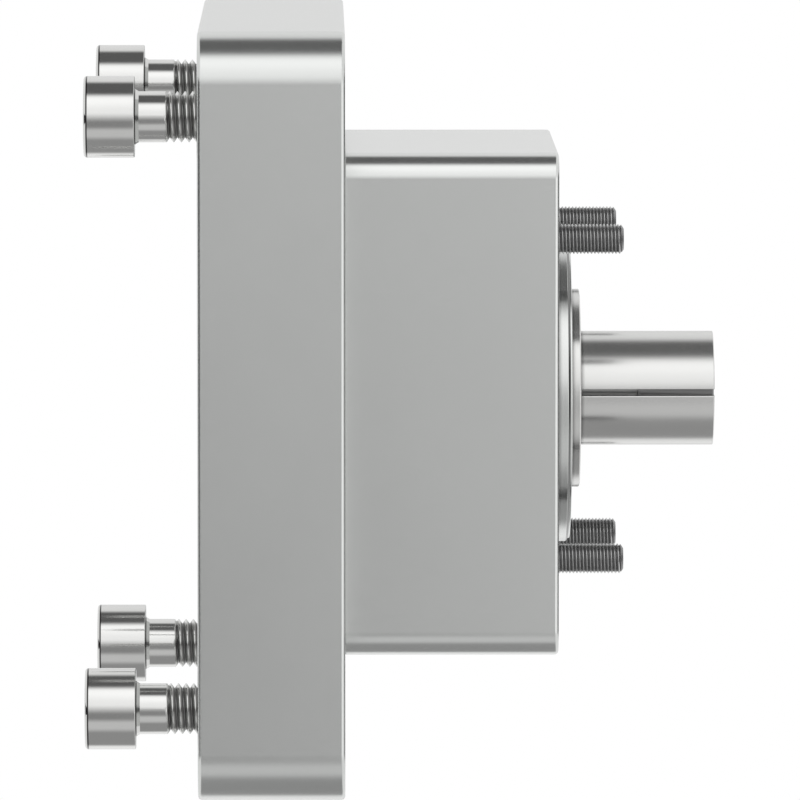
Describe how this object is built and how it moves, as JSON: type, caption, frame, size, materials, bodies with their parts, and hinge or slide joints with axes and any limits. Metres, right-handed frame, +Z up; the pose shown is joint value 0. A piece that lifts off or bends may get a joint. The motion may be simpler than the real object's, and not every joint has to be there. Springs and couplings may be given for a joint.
{
  "type": "motor coupling mounting kit",
  "caption": "Square motor flange bolted to a coupling housing, with a jaw coupling that ends in a slit expanding mandrel, motor screws and drive screws.",
  "frame": {"origin": "on the shaft axis, in the plane of the housing's drive-side face", "axes": "+X along the shaft towards the driven machine, -X towards the motor, +Z up, as the picture shows it"},
  "size_m": [0.1256, 0.151, 0.151],
  "materials": {
    "flange_aluminium": "satin",
    "housing_aluminium": "satin",
    "motor_screw_steel": "bright",
    "drive_screw_steel": "bright",
    "flange_screw_steel": "bright",
    "motor_hub_aluminium": "turned",
    "dark_screw_steel": "black oxide",
    "spider_elastomer": "moulded",
    "drive_hub_steel": "turned"
  },
  "bodies": {
    "housing": {"motor_flange": "flange_aluminium", "coupling_housing": "housing_aluminium", "motor_screw_1": "motor_screw_steel", "motor_screw_2": "motor_screw_steel", "motor_screw_3": "motor_screw_steel", "motor_screw_4": "motor_screw_steel", "drive_screw_1": "drive_screw_steel", "drive_screw_2": "drive_screw_steel", "drive_screw_3": "drive_screw_steel", "drive_screw_4": "drive_screw_steel", "flange_screw_1": "flange_screw_steel", "flange_screw_2": "flange_screw_steel", "flange_screw_3": "flange_screw_steel", "flange_screw_4": "flange_screw_steel"},
    "coupling": {"motor_hub": "motor_hub_aluminium", "clamp_screw": "dark_screw_steel", "coupling_spider": "spider_elastomer", "drive_hub": "drive_hub_steel"},
    "tension_screw": {"tension_screw": "dark_screw_steel"},
    "expansion_cone": {"expansion_cone": "drive_hub_steel"}
  },
  "joints": [
    {"name": "coupling_spin", "type": "hinge", "parent": "housing", "child": "coupling", "pos_m": [0, 0, 0], "axis": [1, 0, 0], "continuous": true},
    {"name": "tension_turn", "type": "hinge", "parent": "coupling", "child": "tension_screw", "pos_m": [0, 0, 0], "axis": [1, 0, 0], "range_deg": [0, 576]},
    {"name": "cone_travel", "type": "slide", "parent": "coupling", "child": "expansion_cone", "axis": [1, 0, 0], "range_m": [0, 0.0021]}
  ],
  "couplings": [
    {"joint": "cone_travel", "follows": "tension_turn", "m_per_rad": 0.00019894}
  ]
}
